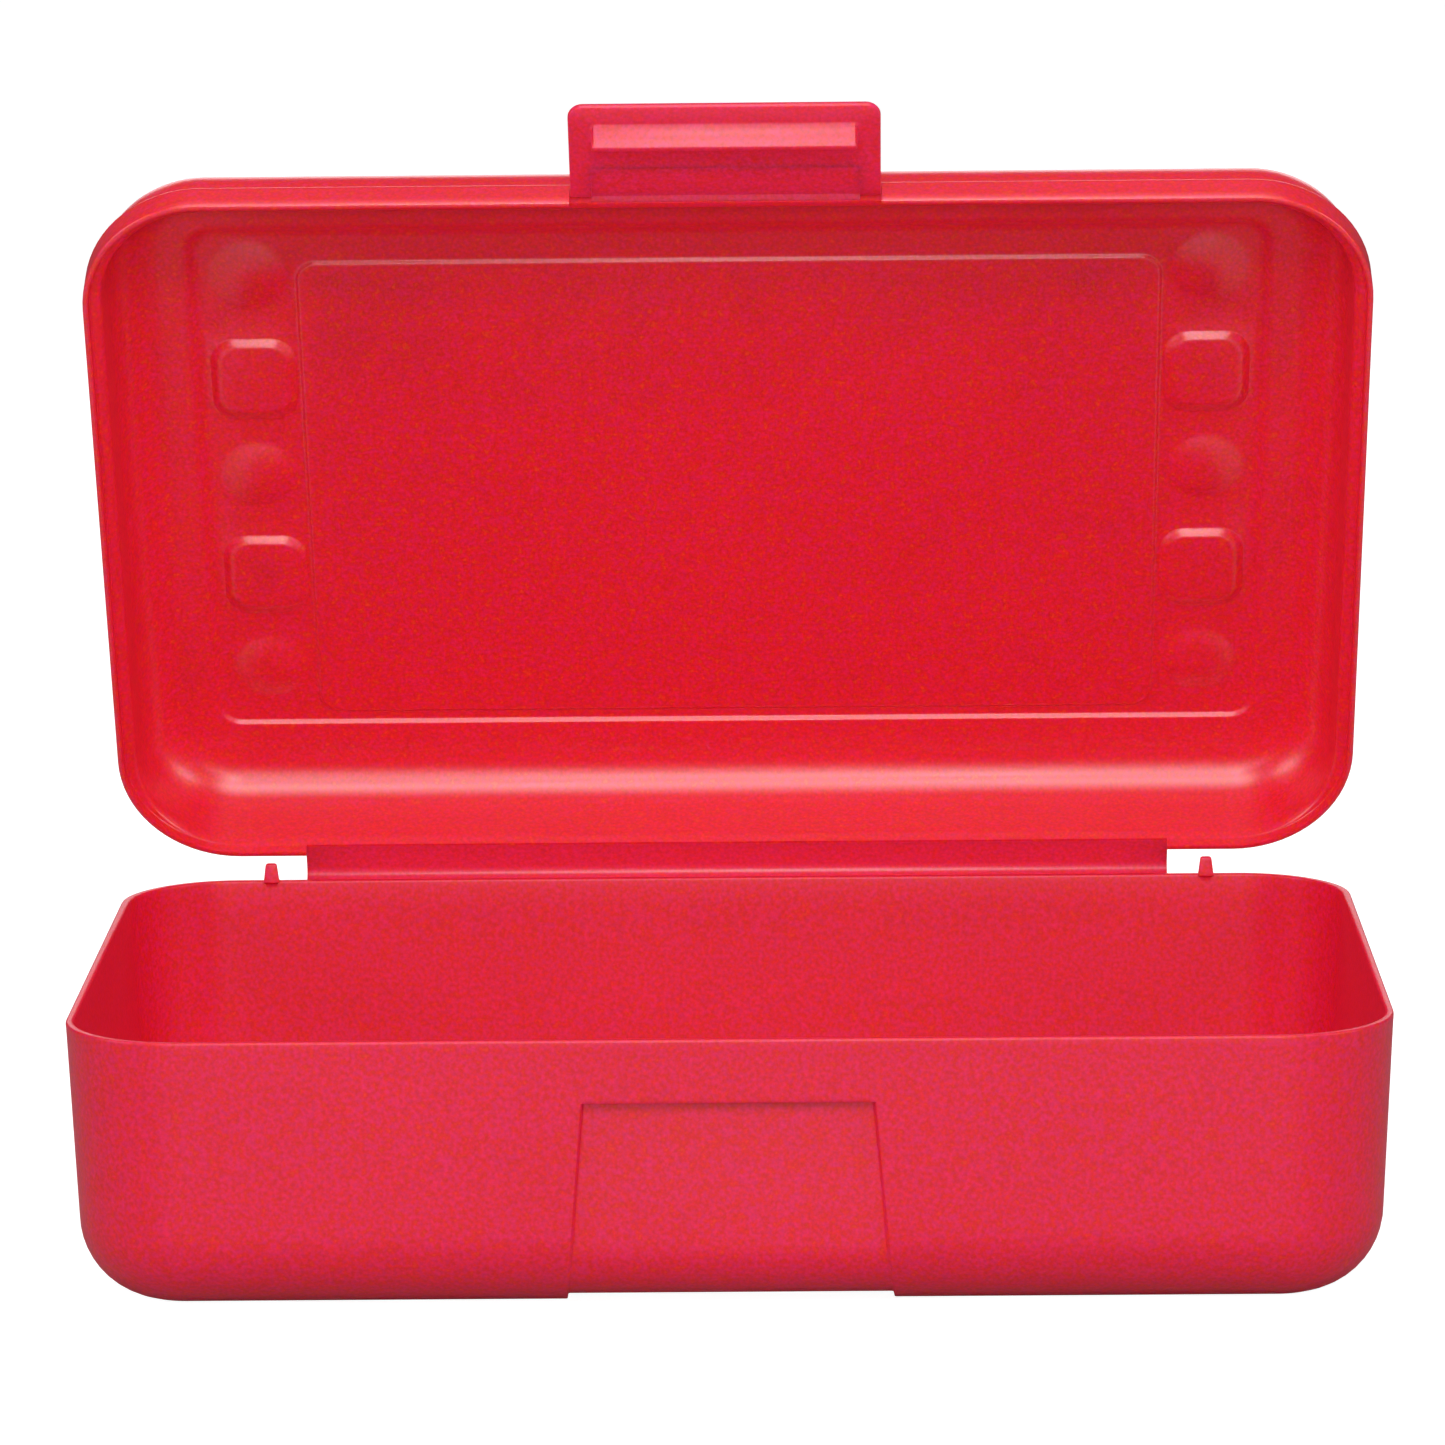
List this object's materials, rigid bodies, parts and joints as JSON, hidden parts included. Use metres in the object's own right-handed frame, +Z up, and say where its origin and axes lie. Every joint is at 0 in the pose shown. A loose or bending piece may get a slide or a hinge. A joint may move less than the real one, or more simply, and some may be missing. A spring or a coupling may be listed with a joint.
{
  "type": "pencil case",
  "caption": "Shallow rectangular moulded pencil case with a living-hinge lid, a snap-over front latch and a finger recess.",
  "frame": {"origin": "centre of the base's flat underside, on the surface it stands on", "axes": "+X to the right seen from the latch side, -Y towards the latch side, +Y towards the lid hinge, +Z up"},
  "size_m": [0.216, 0.1479, 0.1876],
  "materials": {
    "base_plastic": "satin moulded polypropylene, fine grain",
    "lid_plastic": "satin moulded polypropylene, fine grain",
    "hinge_plastic": "thin flexed polypropylene, slightly translucent",
    "latch_plastic": "satin moulded polypropylene, slightly translucent"
  },
  "bodies": {
    "base": {"base_tub": "base_plastic", "locating_peg_left": "base_plastic", "locating_peg_right": "base_plastic", "hinge_base_leaf": "hinge_plastic"},
    "lid": {"hinge_film": "hinge_plastic", "hinge_lid_leaf": "hinge_plastic", "lid_shell": "lid_plastic", "latch_hinge_film": "hinge_plastic"},
    "latch": {"latch_web": "latch_plastic", "latch_flap": "latch_plastic", "latch_catch_bar": "latch_plastic"}
  },
  "joints": [
    {"name": "lid_fold", "type": "hinge", "parent": "base", "child": "lid", "pos_m": [0, 0.072, 0.0456], "axis": [-1, 0, 0], "range_deg": [-64.7, 115.3]},
    {"name": "latch_flex", "type": "hinge", "parent": "lid", "child": "latch", "pos_m": [0, 0.01332, 0.17139], "axis": [-1, 0, 0], "range_deg": [-82, 30]}
  ]
}
